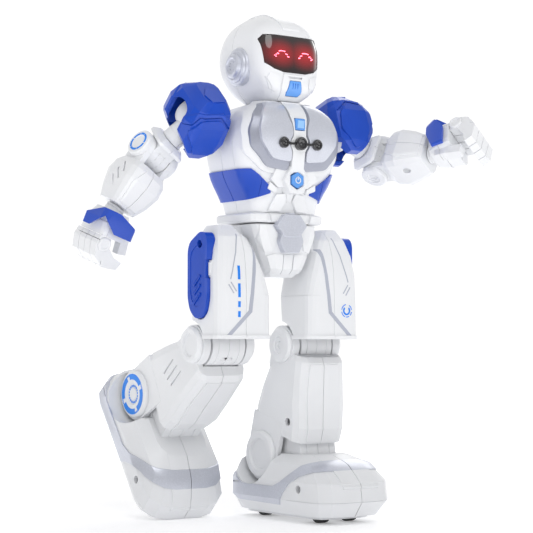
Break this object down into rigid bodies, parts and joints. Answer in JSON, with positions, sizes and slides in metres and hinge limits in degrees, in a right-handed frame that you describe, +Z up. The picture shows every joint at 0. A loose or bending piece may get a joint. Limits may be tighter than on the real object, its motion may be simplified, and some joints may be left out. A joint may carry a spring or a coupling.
{
  "type": "walking humanoid robot toy",
  "caption": "Walking humanoid robot toy in white and blue plastic, caught mid-stride, with a turning head, jointed arms and legs, a lit visor and driven wheels under the feet.",
  "frame": {"origin": "on the ground, under the middle of the posed robot's bounding box", "axes": "+Z up, -Y the way the robot faces, +X the robot's left"},
  "size_m": [0.1997, 0.1648, 0.2652],
  "materials": {
    "white_shell": "glossy moulded white ABS",
    "blue_shell": "glossy royal blue ABS",
    "silver_trim": "silver-lavender metallic paint on plastic",
    "light_blue": "glossy light blue plastic",
    "black_sensor": "glossy black lenses",
    "visor_tint": "tinted dark red visor",
    "red_lamp": "lit red lamps",
    "dark_rubber": "matt moulded rubber",
    "green_board": "glass-epoxy board",
    "speaker_black": "black paper cone and basket",
    "grey_gearbox": "satin grey gear case",
    "battery_sleeve": "sleeved rechargeable cell"
  },
  "bodies": {
    "torso": {"pelvis_front_shell": "white_shell", "pelvis_rear_shell": "white_shell", "groin_plate": "silver_trim", "torso_front_shell": "white_shell", "torso_back_shell": "white_shell", "chest_plates": "silver_trim", "sternum_panel": "white_shell", "sensor_bar": "black_sensor", "waist_trims": "blue_shell", "circuit_board": "green_board", "speaker": "speaker_black", "arm_gearbox": "grey_gearbox"},
    "mode_key": {"mode_button": "light_blue"},
    "power_key": {"power_button": "light_blue"},
    "head": {"head_front_shell": "white_shell", "head_rear_shell": "white_shell", "visor": "visor_tint", "eye_display": "red_lamp", "ear_caps": "silver_trim", "chin_insert": "light_blue"},
    "shoulder_right": {"shoulder_cap_right": "blue_shell"},
    "knuckle_right": {"shoulder_knuckle_right": "white_shell"},
    "arm_right": {"upper_arm_right": "white_shell"},
    "forearm_right_body": {"forearm_right": "white_shell", "elbow_pivot_right": "white_shell"},
    "hand_right": {"palm_right": "white_shell", "fingers_right": "white_shell", "wrist_guard_right": "blue_shell"},
    "thigh_right": {"thigh_shell_right": "white_shell", "battery_cover_right": "blue_shell", "battery_cell_right": "battery_sleeve"},
    "shin_right": {"shin_shell_right": "white_shell", "knee_pivot_right": "white_shell", "ankle_pivot_right": "white_shell"},
    "foot_right": {"foot_shell_right": "white_shell", "foot_band_right": "silver_trim", "sole_plate_right": "white_shell", "foot_motor_right": "grey_gearbox"},
    "front_axle_right": {"front_wheels_right": "dark_rubber"},
    "rear_axle_right": {"rear_wheels_right": "dark_rubber"},
    "shoulder_left": {"shoulder_cap_left": "blue_shell"},
    "knuckle_left": {"shoulder_knuckle_left": "white_shell"},
    "arm_left": {"upper_arm_left": "white_shell"},
    "forearm_left_body": {"forearm_left": "white_shell", "elbow_pivot_left": "white_shell"},
    "hand_left": {"palm_left": "white_shell", "fingers_left": "white_shell", "wrist_guard_left": "blue_shell"},
    "thigh_left": {"thigh_shell_left": "white_shell", "battery_cover_left": "blue_shell", "battery_cell_left": "battery_sleeve"},
    "shin_left": {"shin_shell_left": "white_shell", "knee_pivot_left": "white_shell", "ankle_pivot_left": "white_shell"},
    "foot_left": {"foot_shell_left": "white_shell", "foot_band_left": "silver_trim", "sole_plate_left": "white_shell", "foot_motor_left": "grey_gearbox"},
    "front_axle_left": {"front_wheels_left": "dark_rubber"},
    "rear_axle_left": {"rear_wheels_left": "dark_rubber"}
  },
  "joints": [
    {"name": "neck_turn", "type": "hinge", "parent": "torso", "child": "head", "pos_m": [-0.0042, -0.0115, 0.218], "axis": [0, 0, 1], "range_deg": [-60, 60]},
    {"name": "mode_press", "type": "slide", "parent": "torso", "child": "mode_key", "axis": [0, 1, 0], "range_m": [0, 0.0012], "stiffness_N_per_m": 150},
    {"name": "power_press", "type": "slide", "parent": "torso", "child": "power_key", "axis": [0, 1, 0], "range_m": [0, 0.0012], "stiffness_N_per_m": 150},
    {"name": "shoulder_swing_right", "type": "hinge", "parent": "torso", "child": "shoulder_right", "pos_m": [-0.0502, -0.0145, 0.207], "axis": [1, 0, 0], "range_deg": [-80, 15]},
    {"name": "shoulder_lift_right", "type": "hinge", "parent": "shoulder_right", "child": "knuckle_right", "pos_m": [-0.0502, -0.0145, 0.207], "axis": [0, -0.7193, -0.6947], "range_deg": [-40, 8]},
    {"name": "arm_turn_right", "type": "hinge", "parent": "knuckle_right", "child": "arm_right", "pos_m": [-0.0502, -0.0145, 0.207], "axis": [-0.515, 0.5954, -0.6166], "range_deg": [-30, 30]},
    {"name": "elbow_bend_right", "type": "hinge", "parent": "arm_right", "child": "forearm_right_body", "pos_m": [-0.06514, 0.00277, 0.18912], "axis": [0.8384, 0.2004, -0.5068], "range_deg": [-40, 20]},
    {"name": "wrist_turn_right", "type": "hinge", "parent": "forearm_right_body", "child": "hand_right", "pos_m": [-0.08303, 0.00973, 0.16228], "axis": [-0.5421, 0.2109, -0.8134], "range_deg": [-35, 35]},
    {"name": "shoulder_swing_left", "type": "hinge", "parent": "torso", "child": "shoulder_left", "pos_m": [0.0418, -0.0145, 0.207], "axis": [1, 0, 0], "range_deg": [-25, 60]},
    {"name": "shoulder_lift_left", "type": "hinge", "parent": "shoulder_left", "child": "knuckle_left", "pos_m": [0.0418, -0.0145, 0.207], "axis": [0, 0.9511, -0.309], "range_deg": [-20, 25]},
    {"name": "arm_turn_left", "type": "hinge", "parent": "knuckle_left", "child": "arm_left", "pos_m": [0.0418, -0.0145, 0.207], "axis": [-0.8572, 0.1592, 0.4898], "range_deg": [-30, 30]},
    {"name": "elbow_bend_left", "type": "hinge", "parent": "arm_left", "child": "forearm_left_body", "pos_m": [0.06666, -0.01912, 0.19279], "axis": [0.5138, 0.1979, 0.8348], "range_deg": [-12, 50]},
    {"name": "wrist_turn_left", "type": "hinge", "parent": "forearm_left_body", "child": "hand_left", "pos_m": [0.07662, -0.05055, 0.19412], "axis": [-0.3019, 0.9525, -0.04], "range_deg": [-35, 35]},
    {"name": "hip_swing_right", "type": "hinge", "parent": "torso", "child": "thigh_right", "pos_m": [-0.0322, -0.0165, 0.14], "axis": [1, 0, 0], "range_deg": [-20, 20]},
    {"name": "knee_bend_right", "type": "hinge", "parent": "thigh_right", "child": "shin_right", "pos_m": [-0.0322, -0.0075, 0.092], "axis": [1, 0, 0], "range_deg": [-60, 8]},
    {"name": "ankle_tilt_right", "type": "hinge", "parent": "shin_right", "child": "foot_right", "pos_m": [-0.0322, 0.04751, 0.06565], "axis": [1, 0, 0], "range_deg": [-9, 12]},
    {"name": "front_wheel_spin_right", "type": "hinge", "parent": "foot_right", "child": "front_axle_right", "pos_m": [-0.0322, 0.04396, 0.01449], "axis": [1, 0, 0], "continuous": true},
    {"name": "rear_wheel_spin_right", "type": "hinge", "parent": "foot_right", "child": "rear_axle_right", "pos_m": [-0.0322, 0.07345, 0.05362], "axis": [1, 0, 0], "continuous": true},
    {"name": "hip_swing_left", "type": "hinge", "parent": "torso", "child": "thigh_left", "pos_m": [0.0238, -0.0165, 0.14], "axis": [1, 0, 0], "range_deg": [-20, 20]},
    {"name": "knee_bend_left", "type": "hinge", "parent": "thigh_left", "child": "shin_left", "pos_m": [0.0238, -0.0075, 0.092], "axis": [1, 0, 0], "range_deg": [-16, 45]},
    {"name": "ankle_tilt_left", "type": "hinge", "parent": "shin_left", "child": "foot_left", "pos_m": [0.0238, 0.00962, 0.03345], "axis": [1, 0, 0], "range_deg": [-9, 12]},
    {"name": "front_wheel_spin_left", "type": "hinge", "parent": "foot_left", "child": "front_axle_left", "pos_m": [0.0238, -0.03338, 0.0055], "axis": [1, 0, 0], "continuous": true},
    {"name": "rear_wheel_spin_left", "type": "hinge", "parent": "foot_left", "child": "rear_axle_left", "pos_m": [0.0238, 0.01562, 0.0055], "axis": [1, 0, 0], "continuous": true}
  ]
}
